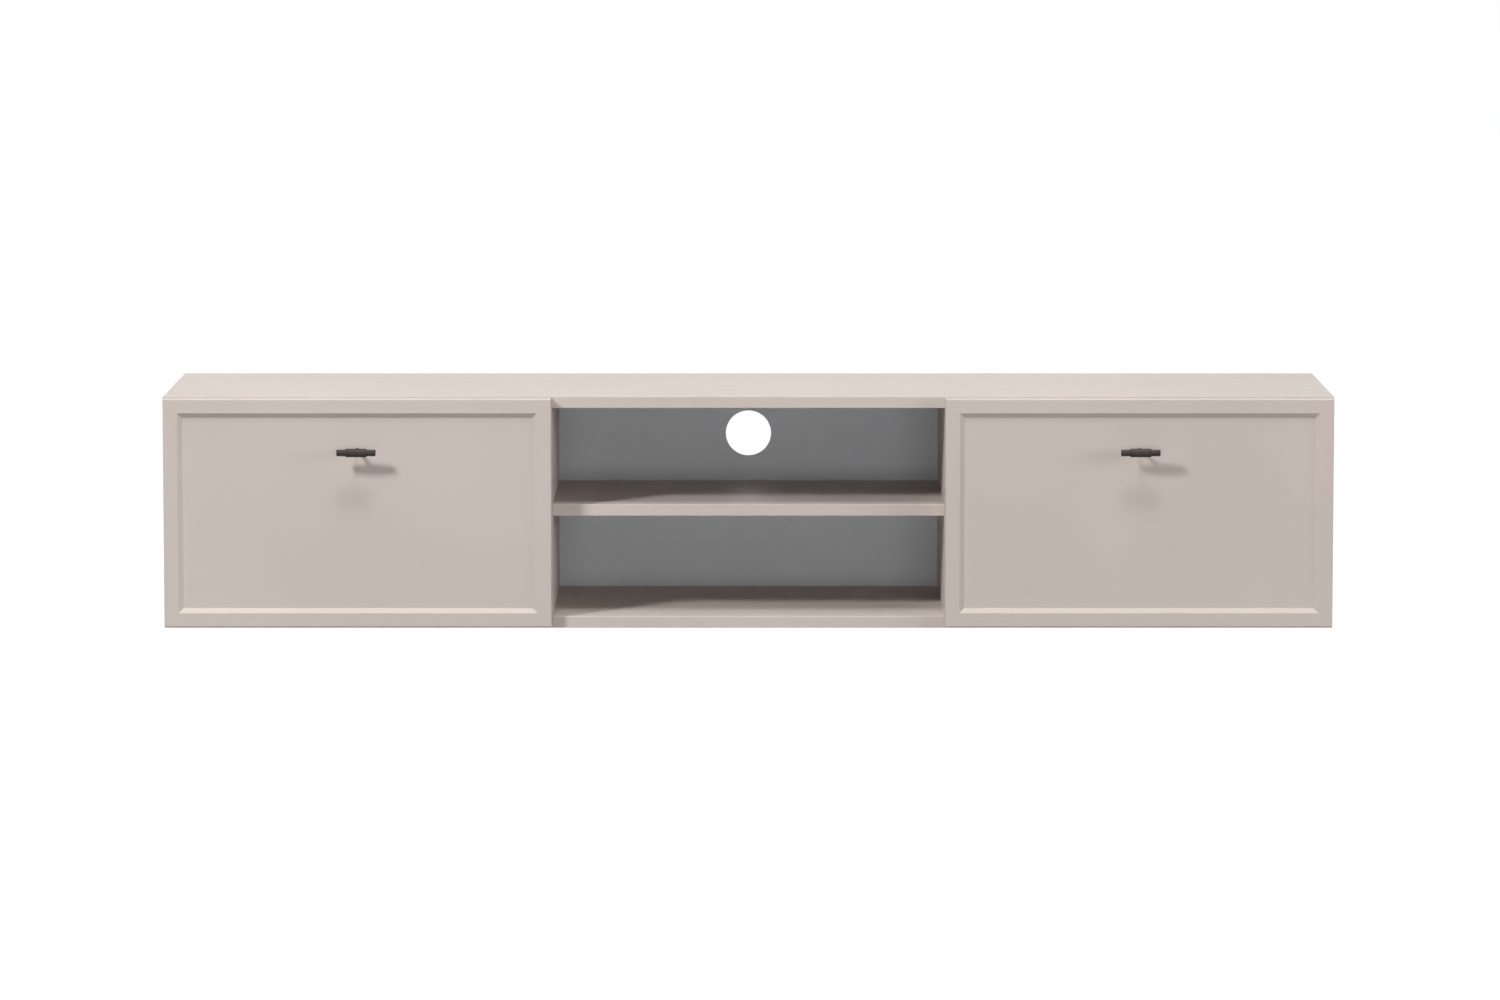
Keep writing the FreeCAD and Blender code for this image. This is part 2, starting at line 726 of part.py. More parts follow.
# ---------------------------------------------------------------- sliding-rod stays
def make_stay_base(name):
    """Hat-section plate on the board, which carries the brake's trunnion."""
    face, direction = INNER_FACES[name]
    body = new_body(name + "_stay_base", x=face, y="hinge_y + pivot_y", z="hinge_z + pivot_z")
    inner_hat = "base_half_hat - base_sheet"
    hat = [
        ("0", "base_half_length"),
        ("base_sheet", "base_half_length"),
        ("base_sheet", "base_half_hat"),
        ("base_rise", "base_half_hat"),
        ("base_rise", "-base_half_hat"),
        ("base_sheet", "-base_half_hat"),
        ("base_sheet", "-base_half_length"),
        ("0", "-base_half_length"),
        ("0", f"-({inner_hat})"),
        ("base_rise - base_sheet", f"-({inner_hat})"),
        ("base_rise - base_sheet", inner_hat),
        ("0", inner_hat),
    ]
    outline = [(f"{direction} * ({x})", z) for x, z in hat]
    add(body, "XZ", "-base_half_width", "base_half_width", [outline])
    seat = span(direction, "base_rise - base_sheet", "base_rise")
    cut(body, "YZ", *seat, [("0", "0", "trunnion_radius + trunnion_play")])


def make_brake_housing(name):
    """Brake that swivels in the base on its trunnion and lets the rod slide through its bore."""
    face, direction = INNER_FACES[name]
    body = new_body(name + "_brake_housing", x=face, y="hinge_y + pivot_y", z="hinge_z + pivot_z")
    lean(body, "rod_slope")
    block = square("0", "0", "brake_half_length", "brake_half_height")
    add(body, "YZ", *span(direction, "brake_near", "brake_far"), [block])
    far = f"{direction} * brake_far"
    dress(body, "Chamfer", "brake_chamfer", lambda edge: lies_at(edge, X=far))
    add(body, "YZ", *span(direction, "head_start", "brake_near"), [("0", "0", "trunnion_radius")])
    head = span(direction, "head_start - trunnion_head", "head_start")
    add(body, "YZ", *head, [polygon(6, "0", "0", "trunnion_head_half_width")])
    bore = (f"{direction} * rod_place", "0", "rod_radius + rod_play")
    cut(body, "XZ", "-brake_half_length", "brake_half_length", [bore])


def make_stay_rod(name):
    """Rod with an eye for the flap's bracket at one end and a stop nut, flush with the other."""
    face, direction = INNER_FACES[name]
    body = new_body(
        name + "_stay_rod", x=face, y="hinge_y + bracket_y", z="hinge_z + bracket_z"
    )
    lean(body, "rod_slope")
    eye = span(direction, "eye_near", "eye_far")
    add(body, "YZ", *eye, [("0", "0", "eye_radius")])
    rod_x = f"{direction} * rod_place"
    add(body, "XZ", "eye_pin_radius + eye_play", "rod_end", [(rod_x, "0", "rod_radius")])
    add(body, "XZ", "nut_start", "rod_end", [polygon(6, rod_x, "0", "nut_half_width")])
    cut(body, "YZ", *eye, [("0", "0", "eye_pin_radius + eye_play")])


def make_stay_brackets(side):
    """Forked brackets on the flap: a screwed foot, two ears and the pin riveted through them."""
    body = new_body(side + "_stay_brackets", y="hinge_y", z="hinge_z + bracket_z")
    for name in STAYS[side]:
        face, direction = INNER_FACES[name]

        def across(near, far):
            """Low and high ends of a stretch measured from the board's face."""
            low, high = span(direction, near, far)
            return f"{face} + {low}", f"{face} + {high}"

        near, far = "ear_near - bracket_sheet", "ear_far + bracket_sheet"
        low, high = across(near, far)
        foot = box(low, "-bracket_half_length", high, "bracket_half_length")
        add(body, "XZ", "flap_leaf_y", "flap_leaf_y + bracket_sheet", [foot])
        ear = box("flap_leaf_y", "-ear_radius", "bracket_y", "ear_radius")
        for ends in (across(near, "ear_near"), across("ear_far", far)):
            add(body, "YZ", *ends, [ear])
            add(body, "YZ", *ends, [("bracket_y", "0", "ear_radius")])
        add(body, "YZ", *across(near, far), [("bracket_y", "0", "eye_pin_radius")])


# ---------------------------------------------------------------- build
long_board("top_panel", "top", "ceiling", -1)
long_board("bottom_panel", "bottom", "ground", 1)
for side in SIDES:
    make_side_panel(side)
    make_partition(side)
make_joint_tongues()
make_back_panel()
make_middle_shelf()
make_wall_rail()
make_hanger_hooks()
make_hinges()
for side, way in SIDES.items():
    make_magnet_catch(side, way)
    make_strike_plate(side, way)
    make_bumpers(side, way)
    make_flap_panel(side, way)
    make_handle(side, way)
    make_stay_brackets(side)
for name in INNER_FACES:
    make_hanger(name)
    make_stay_base(name)
    make_brake_housing(name)
    make_stay_rod(name)
doc.recompute()

# ---------------------------------------------------------------- check and write
for item in doc.Objects:
    if "Invalid" in item.State or "Error" in item.State:
        raise ValueError(f"{item.Name} failed: {item.State}")
bodies = [item for item in doc.Objects if item.TypeId == "PartDesign::Body"]
for body in bodies:
    if body.Shape.isNull() or not body.Shape.isValid():
        raise ValueError(f"{body.Label} has no valid shape")
os.makedirs("parts", exist_ok=True)
for body in bodies:
    body.Shape.exportStep(os.path.join("parts", body.Label + ".step"))
print(len(bodies), "sub-parts written")
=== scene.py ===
# %% [markdown]
# # A wall-hung media console and its finishes
# The construction is finished before this file starts: every board, hinge, stay and handle comes in
# as a solid of the right size, already in its place. What is left is how the console looks: the
# lacquer, the routed fronts, the turned handles, the screws, and the light that shows them. Each
# step below says what the thing is, how it could be made in Blender, and why one way was picked.

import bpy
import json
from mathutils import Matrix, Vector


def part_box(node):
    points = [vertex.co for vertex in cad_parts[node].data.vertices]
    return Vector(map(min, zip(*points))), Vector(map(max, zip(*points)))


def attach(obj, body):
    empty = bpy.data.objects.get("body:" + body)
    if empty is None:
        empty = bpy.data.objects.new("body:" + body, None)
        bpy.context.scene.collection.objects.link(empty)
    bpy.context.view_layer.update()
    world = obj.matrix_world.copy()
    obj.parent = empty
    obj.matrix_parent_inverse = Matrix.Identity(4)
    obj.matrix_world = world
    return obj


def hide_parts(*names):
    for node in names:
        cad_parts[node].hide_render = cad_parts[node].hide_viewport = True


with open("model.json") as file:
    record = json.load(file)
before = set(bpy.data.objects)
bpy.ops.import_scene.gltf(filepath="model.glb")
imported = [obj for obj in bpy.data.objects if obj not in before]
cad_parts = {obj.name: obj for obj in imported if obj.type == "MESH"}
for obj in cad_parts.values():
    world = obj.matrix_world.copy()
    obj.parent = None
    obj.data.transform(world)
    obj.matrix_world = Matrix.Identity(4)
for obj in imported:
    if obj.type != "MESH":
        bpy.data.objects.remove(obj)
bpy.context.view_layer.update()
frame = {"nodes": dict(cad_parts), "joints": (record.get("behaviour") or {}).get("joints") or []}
print("pieces of the construction:", len(frame["nodes"]))

# %% [markdown]
# Everything that follows is placed from the construction, so nothing has to be fitted by eye.
# A node's box gives its lowest and highest corner. The few places read here are the ones that the
# camera, the lamps and the new pieces share.

# %% Places read from the construction
import json
import math

import bpy
import numpy as np
from mathutils import Vector

MM = 0.001
SIDES = ("left", "right")

carcass_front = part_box("top_panel")[0].y
console_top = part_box("top_panel")[1].z
console_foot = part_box("bottom_panel")[0].z
flap_boxes = {side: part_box(side + "_flap_panel") for side in SIDES}
print("carcass front at y =", round(carcass_front, 4), "and console top at z =", round(console_top, 4))

# %% [markdown]
# ## Camera
# A wide, low piece of furniture looks right through a long lens from far away, where its long
# edges stay nearly parallel. A short lens close by would fill the frame too, but it would splay the
# ends. The lens is therefore a tele lens of about 160 mm, some ten metres in front of the console
# and one metre above it, tilted down until the console sits just below the middle of the frame.

# %% Camera
CAMERA_PLACE = (0.0, -10.604, 0.998)
CAMERA_TILT = 6.213
CAMERA_LENS = 160.07
CAMERA_SHIFT = 0.00103
CAMERA_REACH = 60.0
SENSOR_WIDTH = 36.0

camera_data = bpy.data.cameras.new("front_camera")
camera_data.lens = CAMERA_LENS
camera_data.sensor_width = SENSOR_WIDTH
camera_data.shift_x = CAMERA_SHIFT
camera_data.clip_end = CAMERA_REACH
camera = bpy.data.objects.new("front_camera", camera_data)
camera.location = CAMERA_PLACE
camera.rotation_euler = (math.radians(90.0 - CAMERA_TILT), 0.0, 0.0)
bpy.context.scene.collection.objects.link(camera)
bpy.context.scene.camera = camera
bpy.context.scene.view_settings.view_transform = "Standard"
print("camera to carcass front:", round(carcass_front - CAMERA_PLACE[1], 3), "m")

# %% [markdown]
# ## Satin lacquer
# The boards are fibreboard with a sprayed greige lacquer. Under a lamp such a coat is smooth but
# not perfect: it has the faint ripple of orange peel, a slightly uneven sheen, and hardly any
# change of colour. An image texture could hold all that, but it would need unwrapping. A tree of
# shader nodes works it out in space, for boards of any size. Written out by hand, such a tree hides
# what matters in it, so small helpers carry the routine, and each is made where the lacquer first
# needs it. The first one makes a material and sets the sockets of its shader by name. The
# reflection is kept weak, so that the coat doesn't turn white where a board is seen edge on.

# %% Start the lacquer
def shader_of(material):
    """The Principled shader of a material."""
    return material.node_tree.nodes["Principled BSDF"]


def new_material(name, **sockets):
    """Material with one Principled shader whose sockets are set by name, as in metallic=1.0."""
    material = bpy.data.materials.new(name)
    material.use_nodes = True
    for socket, value in sockets.items():
        title = socket.replace("_", " ").title().replace("Ior", "IOR")
        shader_of(material).inputs[title].default_value = value
    return material


lacquer = new_material("greige_lacquer", ior=1.45, specular_ior_level=0.2)
print("lacquer's index of refraction:", round(shader_of(lacquer).inputs["IOR"].default_value, 2))

# %% [markdown]
# ### Patterns in real lengths
# Every pattern is noise that reads Object coordinates. These are metres here, so a grain keeps its
# size on every piece and stays in place when a flap swings. A pattern is asked for by the width of
# one blotch, which can be measured on a real board. Wood grain and grinding marks are the same
# noise, drawn out along one axis or two. The lacquer's own cloud is so wide and so faint that a
# board shows only a hint of it.

# %% A cloud for the lacquer
def add_node(material, kind, **inputs):
    """New node in a material's tree, with some of its inputs set by name."""
    node = material.node_tree.nodes.new("ShaderNode" + kind)
    for name, value in inputs.items():
        node.inputs[name.title()].default_value = value
    return node


def join(material, source, target):
    """Wire one socket to another."""
    material.node_tree.links.new(source, target)


def pattern(material, size, stretch=(1.0, 1.0, 1.0), detail=3.0):
    """Noise of (position / stretch / size), so that a blotch is about size metres across."""
    place = add_node(material, "TexCoord")
    mapping = add_node(material, "Mapping", scale=[1.0 / s for s in stretch])
    noise = add_node(material, "TexNoise", scale=1.0 / size, detail=detail)
    join(material, place.outputs["Object"], mapping.inputs["Vector"])
    join(material, mapping.outputs["Vector"], noise.inputs["Vector"])
    return noise.outputs["Fac"]


CLOUD_SIZE = 350 * MM

lacquer_cloud = pattern(lacquer, CLOUD_SIZE, detail=2.0)

# %% [markdown]
# ### Colour from a pattern
# A paint is matched in sRGB steps from 0 to 255, but a colour socket takes linear light, so
# one helper converts. The other spreads a pattern over two shades of the paint. Noise seldom leaves
# the middle of its range, so the ramp's ends are pulled in to where the noise really is.

# %% Tint the lacquer
RAMP_LOW = 0.35
RAMP_HIGH = 0.65


def linear(*srgb):
    """Linear light of sRGB steps: share / 12.92 when dark, else ((share + 0.055) / 1.055) ** 2.4."""
    shares = [value / 255 for value in srgb]
    curve = [s / 12.92 if s <= 0.04045 else ((s + 0.055) / 1.055) ** 2.4 for s in shares]
    return (*curve, 1.0)


def tint(material, source, dark, light):
    """Base colour that goes from dark to light with the pattern."""
    ramp = add_node(material, "ValToRGB")
    for stop, place, shade in zip(ramp.color_ramp.elements, (RAMP_LOW, RAMP_HIGH), (dark, light)):
        stop.position = place
        stop.color = shade
    join(material, source, ramp.inputs["Fac"])
    join(material, ramp.outputs["Color"], shader_of(material).inputs["Base Color"])


tint(lacquer, lacquer_cloud, linear(196, 185, 178), linear(200, 189, 182))
print("lacquer's darker shade in linear light:", [round(c, 3) for c in linear(196, 185, 178)])

# %% [markdown]
# ### Sheen from a pattern
# No sprayed coat is equally smooth all over. Roughness that wanders a little, in patches as wide as
# a thumb, breaks up the reflection of a lamp and takes away the look of plastic.

# %% Sheen of the lacquer
NOISE_LOW = 0.3
NOISE_HIGH = 0.7


def vary_roughness(material, source, low, high):
    """Roughness that goes from low to high with the pattern."""
    spread = add_node(material, "MapRange")
    spread.inputs["From Min"].default_value = NOISE_LOW
    spread.inputs["From Max"].default_value = NOISE_HIGH
    spread.inputs["To Min"].default_value = low
    spread.inputs["To Max"].default_value = high
    join(material, source, spread.inputs["Value"])
    join(material, spread.outputs["Result"], shader_of(material).inputs["Roughness"])


vary_roughness(lacquer, pattern(lacquer, 20 * MM), 0.42, 0.52)
print("nodes of the lacquer so far:", len(lacquer.node_tree.nodes))

# %% [markdown]
# ### Relief from a pattern
# Orange peel is real relief, a few thousandths of a millimetre deep. It is far too fine for mesh, so
# a bump node tilts the surface's normals by the slope of the noise, and the depth is given in
# metres like every other length.

# %% Orange peel of the lacquer
def emboss(material, source, depth):
    """Bump that is depth metres high where the pattern goes from 0 to 1."""
    bump = add_node(material, "Bump", distance=depth)
    join(material, source, bump.inputs["Height"])
    join(material, bump.outputs["Normal"], shader_of(material).inputs["Normal"])


def describe(material):
    """Print the size of a finish's tree."""
    print(material.name, "has", len(material.node_tree.nodes), "nodes")


emboss(lacquer, pattern(lacquer, 4 * MM, detail=1.0), 0.003 * MM)
describe(lacquer)

# %% [markdown]
# ## Grey back
# The thin back carries a printed grey paper: dull, with a very fine speckle. One flat grey would
# look like paint. So the colour follows a noise not much coarser than the dots of the print, and a
# still finer one gives the paper its tooth.

# %% Paper of the back panel
grey_paper = new_material("grey_back_paper", ior=1.45)
speckle = pattern(grey_paper, 1.2 * MM, detail=4.0)
tint(grey_paper, speckle, linear(216, 221, 227), linear(224, 229, 235))
vary_roughness(grey_paper, pattern(grey_paper, 30 * MM), 0.55, 0.68)
emboss(grey_paper, pattern(grey_paper, 0.8 * MM), 0.02 * MM)
describe(grey_paper)

# %% [markdown]
# ## Birch plywood
# The loose tongues in the joints are plain plywood. Nobody sees them on the finished console, but a
# part that is taken apart should still look right. A wood texture with rings would be too bold for
# a strip as narrow as a finger, so the grain is noise, drawn out along the boards' depth, which is
# the way the tongues lie.

# %% Plywood of the tongues
ALONG_DEPTH = (1.0, 14.0, 1.0)

plywood = new_material("birch_plywood", ior=1.45)
grain = pattern(plywood, 3 * MM, ALONG_DEPTH, detail=5.0)
tint(plywood, grain, linear(196, 165, 122), linear(222, 197, 158))
vary_roughness(plywood, pattern(plywood, 10 * MM), 0.6, 0.8)
emboss(plywood, pattern(plywood, 1.2 * MM, ALONG_DEPTH), 0.06 * MM)
describe(plywood)

# %% [markdown]
# ## Zinc plate
# Leaves, brackets, hooks and the wall rail are zinc-plated sheet: a cool grey with a slightly cloudy
# shine. A metal has no colour beside its reflection, so metallic is 1 and the base colour is the
# colour of that reflection. The clouds are in the roughness as well as in the colour.

# %% Zinc
zinc = new_material("zinc_plate", metallic=1.0)
tint(zinc, pattern(zinc, 6 * MM, detail=5.0), linear(150, 154, 158), linear(178, 181, 182))
vary_roughness(zinc, pattern(zinc, 4 * MM), 0.24, 0.42)
emboss(zinc, pattern(zinc, 0.5 * MM), 0.008 * MM)
describe(zinc)

# %% [markdown]
# ## Ground steel
# The stay rods are ground while they turn, which leaves fine rings and a sharper shine than the
# plating has. Anisotropy could fake such rings, but it needs a tangent on every piece. Noise that is
# drawn out along x and z lies in thin sheets across y, and a rod runs mainly from front to back, so
# the sheets meet its surface in rings. The hinge pins and the catches' poles share the steel.

# %% Ground steel
RINGS = (6.0, 1.0, 6.0)

rod_steel = new_material("ground_steel", metallic=1.0)
tint(rod_steel, pattern(rod_steel, 0.6 * MM, RINGS), linear(164, 165, 168), linear(190, 191, 193))
vary_roughness(rod_steel, pattern(rod_steel, 0.6 * MM, RINGS), 0.12, 0.24)
emboss(rod_steel, pattern(rod_steel, 0.3 * MM, RINGS), 0.003 * MM)
describe(rod_steel)

# %% [markdown]
# ## Paint of the brakes
# Each brake is a zinc casting under a thin grey paint. It could be a metal with a second, painted
# layer, but the paint covers all of it. So it is paint alone, with metallic left at 0, and the
# casting shows only in a relief that is deeper than on the sheet parts.

# %% Brake paint
brake_paint = new_material("brake_paint", ior=1.5)
tint(brake_paint, pattern(brake_paint, 4 * MM), linear(96, 98, 101), linear(110, 112, 115))
vary_roughness(brake_paint, pattern(brake_paint, 2 * MM), 0.36, 0.5)
emboss(brake_paint, pattern(brake_paint, 0.6 * MM), 0.03 * MM)
describe(brake_paint)

# %% [markdown]
# ## Dark handles
# The handles are powder coated in a black brown. Powder coat keeps a very fine grain that breaks
# the highlight, so the bar shows a soft streak of light along its top. In a white room even a dark
# part mirrors a lot of white. A darker colour alone wouldn't help against that, so the reflection is
# made weaker too.

# %% Coat of the handles
powder_coat = new_material("dark_powder_coat", ior=1.5, specular_ior_level=0.15)
tint(powder_coat, pattern(powder_coat, 3 * MM), linear(53, 49, 45), linear(61, 56, 51))
vary_roughness(powder_coat, pattern(powder_coat, 1 * MM), 0.3, 0.4)
emboss(powder_coat, pattern(powder_coat, 0.35 * MM), 0.015 * MM)
describe(powder_coat)

# %% [markdown]
# ## Mouldings
# The hangers are light grey plastic and the catches are black. Both come out of spark-eroded moulds,
# so they share the same fine grain and differ in little but colour. The grain is left to a bump, as
# on the lacquer, because a mesh that fine would be far too heavy.

# %% Plastics
light_plastic = new_material("hanger_moulding", ior=1.46)
tint(light_plastic, pattern(light_plastic, 10 * MM), linear(205, 205, 201), linear(214, 214, 210))
vary_roughness(light_plastic, pattern(light_plastic, 2 * MM), 0.42, 0.54)
emboss(light_plastic, pattern(light_plastic, 0.4 * MM), 0.02 * MM)
describe(light_plastic)

black_plastic = new_material("catch_moulding", ior=1.46)
tint(black_plastic, pattern(black_plastic, 8 * MM), linear(34, 34, 35), linear(42, 42, 43))
vary_roughness(black_plastic, pattern(black_plastic, 2 * MM), 0.4, 0.52)
emboss(black_plastic, pattern(black_plastic, 0.4 * MM), 0.02 * MM)
describe(black_plastic)

# %% [markdown]
# ## Clear rubber
# The bumpers are clear rubber dots. Light passes through them but is scattered on the way. A volume
# inside would be the exact way, and slow for dots of eight millimetres. A transmission weight below
# 1 with some roughness gives nearly the same milky look.

# %% Rubber
clear_rubber = new_material("clear_rubber", ior=1.42, transmission_weight=0.7)
tint(clear_rubber, pattern(clear_rubber, 2 * MM), linear(214, 214, 208), linear(226, 226, 222))
vary_roughness(clear_rubber, pattern(clear_rubber, 1 * MM), 0.22, 0.34)
emboss(clear_rubber, pattern(clear_rubber, 0.5 * MM), 0.01 * MM)
describe(clear_rubber)

# %% [markdown]
# ## Dress the construction
# Each solid gets the finish that its kind of part has. The names of the solids say what they are,
# so a table from the end of a name to a finish is enough, and a solid that no row fits stops the
# script instead of staying grey.

# %% Give every solid its finish
FINISHES = {
    "_flap_panel": lacquer,
    "_side_panel": lacquer,
    "top_panel": lacquer,
    "bottom_panel": lacquer,
    "_partition": lacquer,
    "middle_shelf": lacquer,
    "back_panel": grey_paper,
    "joint_tongues": plywood,
    "_handle_bar": powder_coat,
    "_handle_sleeve": powder_coat,
    "_handle_stem": powder_coat,
    "_handle_bolt": zinc,
    "hanger_hooks": zinc,
    "_hanger": light_plastic,
    "_magnet_catch": black_plastic,
    "_bumpers": clear_rubber,
    "_brake_housing": brake_paint,
    "_stay_rod": rod_steel,
    "_stay_base": zinc,
    "_stay_brackets": zinc,
    "_strike_plate": zinc,
    "hinge_leaves": zinc,
    "hinge_pins": rod_steel,
    "wall_rail": zinc,
}
for name, solid in frame["nodes"].items():
    finish = next(found for ending, found in FINISHES.items() if name.endswith(ending))
    solid.data.materials.clear()
    solid.data.materials.append(finish)
print("dressed", len(frame["nodes"]), "solids in", len(set(FINISHES.values())), "finishes")

# %% [markdown]
# ## Surfaces from grids
# Every new piece below is a surface over two parameters: a grid of points, row after row. A lathe
# piece is a profile turned about an axis, and a routed front is a profile carried round a
# rectangle. In both the columns run round in a ring. So one function can wire any such grid: each
# point to its neighbours, and the last column to the first. A plain grid is closed with one face
# at each end, and a tube's last row meets its first.

# %% Faces of a grid
def ring_faces(rows, columns, first=0, tube=False):
    """Corner numbers of a grid's faces: near, near's neighbour, far's neighbour and far.

    The corners are counted row after row, from the number first."""
    corner = first + np.arange(rows * columns).reshape(rows, columns)
    near = corner if tube else corner[:-1]
    far = np.roll(corner, -1, axis=0) if tube else corner[1:]
    quads = np.stack([near, np.roll(near, -1, axis=1), np.roll(far, -1, axis=1), far], axis=-1)
    caps = [] if tube else [corner[0, ::-1].tolist(), corner[-1].tolist()]
    return quads.reshape(-1, 4).tolist() + caps


print("a closed grid of 3 rows and 8 columns has", len(ring_faces(3, 8)), "faces")

# %% [markdown]
# A second function makes the mesh, and says where the piece belongs: on which body it rides, and
# whose finish it takes. Edges that turn by more than about forty degrees stay crisp, and all others
# are shaded smoothly. A piece may hold several grids, because all the screws of one body are one
# piece.

# %% A mesh from grids
SHARP_ANGLE = 38.0


def ring_mesh(name, grids, material, body, tube=False):
    """Piece made of grids of points, rows x columns x 3, that rides on a body of the console."""
    points = np.concatenate([grid.reshape(-1, 3) for grid in grids])
    faces, first = [], 0
    for rows, columns, _ in (grid.shape for grid in grids):
        faces += ring_faces(rows, columns, first, tube)
        first += rows * columns
    mesh = bpy.data.meshes.new(name)
    mesh.from_pydata(points.tolist(), [], faces)
    mesh.shade_smooth()
    mesh.set_sharp_from_angle(angle=math.radians(SHARP_ANGLE))
    mesh.materials.append(material)
    piece = bpy.data.objects.new(name, mesh)
    bpy.context.scene.collection.objects.link(piece)
    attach(piece, body)
    print(name, "has", len(mesh.polygons), "faces")
    return piece


print("edges over", SHARP_ANGLE, "degrees stay crisp")

# %% [markdown]
# ## Routed fronts
# Each flap is one board. A router sinks the middle and leaves a slim border with a sloping step
# around it, and the sander and the lacquer then soften every arris. The solids have that form with
# knife-sharp arrises at the step, and a sharp arris catches no light. A bevel modifier could round
# them, but on loose triangles it picks too many edges. Here the front is a profile of distances in
# from the outline and depths, with a small arc at each arris. Smooth shading spreads a normal over
# a whole face, so a large flat beside a small arc would look swollen. One more point a quarter of a
# millimetre beyond each arc holds the flat flat.

# %% An arc in a profile
HOLD = 0.25 * MM


def unit(vector):
    """Vector of length one in the same direction."""
    return vector / np.linalg.norm(vector)


def bend(before, corner, after, radius, steps=6):
    """Arc that rounds a profile's corner, with a holding point on the straight run on each side.

    It touches both runs at radius / tan(half angle) from the corner, and its centre lies on the
    line that halves the corner, radius / sin(half angle) away. From the centre, the spoke turns at
    an even pace: (sin((1 - share) swing) start + sin(share swing) end) / sin(swing)."""
    before, corner, after = (np.array(point, float) for point in (before, corner, after))
    first, second = unit(before - corner), unit(after - corner)
    half = math.acos(first @ second) / 2
    tangent = radius / math.tan(half)
    centre = corner + unit(first + second) * radius / math.sin(half)
    start, end = corner + first * tangent - centre, corner + second * tangent - centre
    swing = math.pi - 2 * half
    share = np.linspace(0.0, 1.0, steps)[:, None]
    arc = centre + (np.sin((1 - share) * swing) * start + np.sin(share * swing) * end) / math.sin(swing)
    return np.vstack([corner + first * (tangent + HOLD), arc, corner + second * (tangent + HOLD)])


print("points of one rounded corner:", len(bend((0, 1), (0, 0), (1, 0), 2.0 * MM)))

# %% [markdown]
# The profile starts at the back arris, comes forward along the board's edge, turns round the front
# arris onto the border, falls down the sloping step and ends on the sunk field.

# %% Profile of a front
BORDER = 22.0 * MM
STEP_WIDTH = 7.5 * MM
STEP_DEPTH = 5.0 * MM
OUTER_ROUND = 2.0 * MM
ARRIS_ROUND = 0.9 * MM
BACK_CHAMFER = 0.4 * MM


def front_profile(thickness):
    """Profile of (inset, depth behind the face) pairs, from the back arris to the sunk field."""
    side, arris, brink = (0.0, thickness), (0.0, 0.0), (BORDER, 0.0)
    foot, field = (BORDER + STEP_WIDTH, STEP_DEPTH), (BORDER + 2 * STEP_WIDTH, STEP_DEPTH)
    back = [(BACK_CHAMFER, thickness), (0.0, thickness - BACK_CHAMFER)]
    bends = [
        bend(side, arris, brink, OUTER_ROUND),
        bend(arris, brink, foot, ARRIS_ROUND),
        bend(brink, foot, field, ARRIS_ROUND),
    ]
    return np.vstack([back, *bends, [field]])


step_slope = math.degrees(math.atan2(STEP_DEPTH, STEP_WIDTH))
print("the step falls at", round(step_slope, 1), "degrees")

# %% [markdown]
# The profile is carried round a rectangle whose corners are small arcs too, because a router bit and
# a sanding pad both leave them round. The holding points are needed there as well, on both sides of
# each corner's arc. The four corners are one array: they differ only in their signs and by a
# quarter turn each.

# %% Outline of a front
CORNER_ROUND = 0.8 * MM
CORNER_STEPS = 5
SIGNS = np.array([(1, 1), (-1, 1), (-1, -1), (1, -1)])[:, None]


def rounded_rectangle(low, high):
    """Corners x points x 2 array of x and z: centre + radius (cos, sin), and the holding points.

    Each corner's centre is middle + signs (half size - radius)."""
    size = np.array([high.x - low.x, high.z - low.z])
    middle = np.array([high.x + low.x, high.z + low.z]) / 2
    swing = np.radians(np.linspace(0.0, 90.0, CORNER_STEPS) + 90.0 * np.arange(4)[:, None])
    spoke = np.stack([np.cos(swing), np.sin(swing)], axis=-1)
    tangent = np.stack([-np.sin(swing), np.cos(swing)], axis=-1)
    arc = middle + SIGNS * (size / 2 - CORNER_ROUND) + CORNER_ROUND * spoke
    before = arc[:, :1] - HOLD * tangent[:, :1]
    after = arc[:, -1:] + HOLD * tangent[:, -1:]
    return np.concatenate([before, arc, after], axis=1)


outline = rounded_rectangle(*flap_boxes["left"])
print("points round a front:", outline.shape[0] * outline.shape[1])

# %% [markdown]
# Going inwards, a rectangle only gets smaller, so each of its corners slides along its diagonal.
# That makes the whole front one formula of two parameters: which point of the profile, and which
# point of the outline.

# %% Routed front panels
def sunk_face(low, high, profile):
    """Grid of a front: outline - signs inset in x and z, and the face's y + depth in y."""
    inset, depth = profile[:, 0], profile[:, 1]
    ring = rounded_rectangle(low, high) - SIGNS * inset[:, None, None, None]
    ring = ring.reshape(len(profile), -1, 2)
    y = np.broadcast_to(low.y + depth[:, None], ring.shape[:2])
    return np.stack([ring[..., 0], y, ring[..., 1]], axis=-1)


for side, (low, high) in flap_boxes.items():
    grid = sunk_face(low, high, front_profile(high.y - low.y))
    panel = ring_mesh(side + "_routed_front", [grid], lacquer, side + "_flap")
    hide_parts(side + "_flap_panel")

# %% [markdown]
# ## Turned handles
# Each handle is a thin bar through a thicker sleeve on a stem, and all three are turned on a lathe.
# Blender's Screw modifier turns a profile too, but it leaves an object whose mesh isn't final. Here
# the profile is a short list of distances along the axis with a radius for each, and the turning
# is one line of arrays.

# %% Turn a profile about an axis
RING_STEPS = 64
RIGHT = (1, 0, 0)
FORWARD = (0, -1, 0)
BACKWARD = (0, 1, 0)
UP = (0, 0, 1)
DOWN = (0, 0, -1)


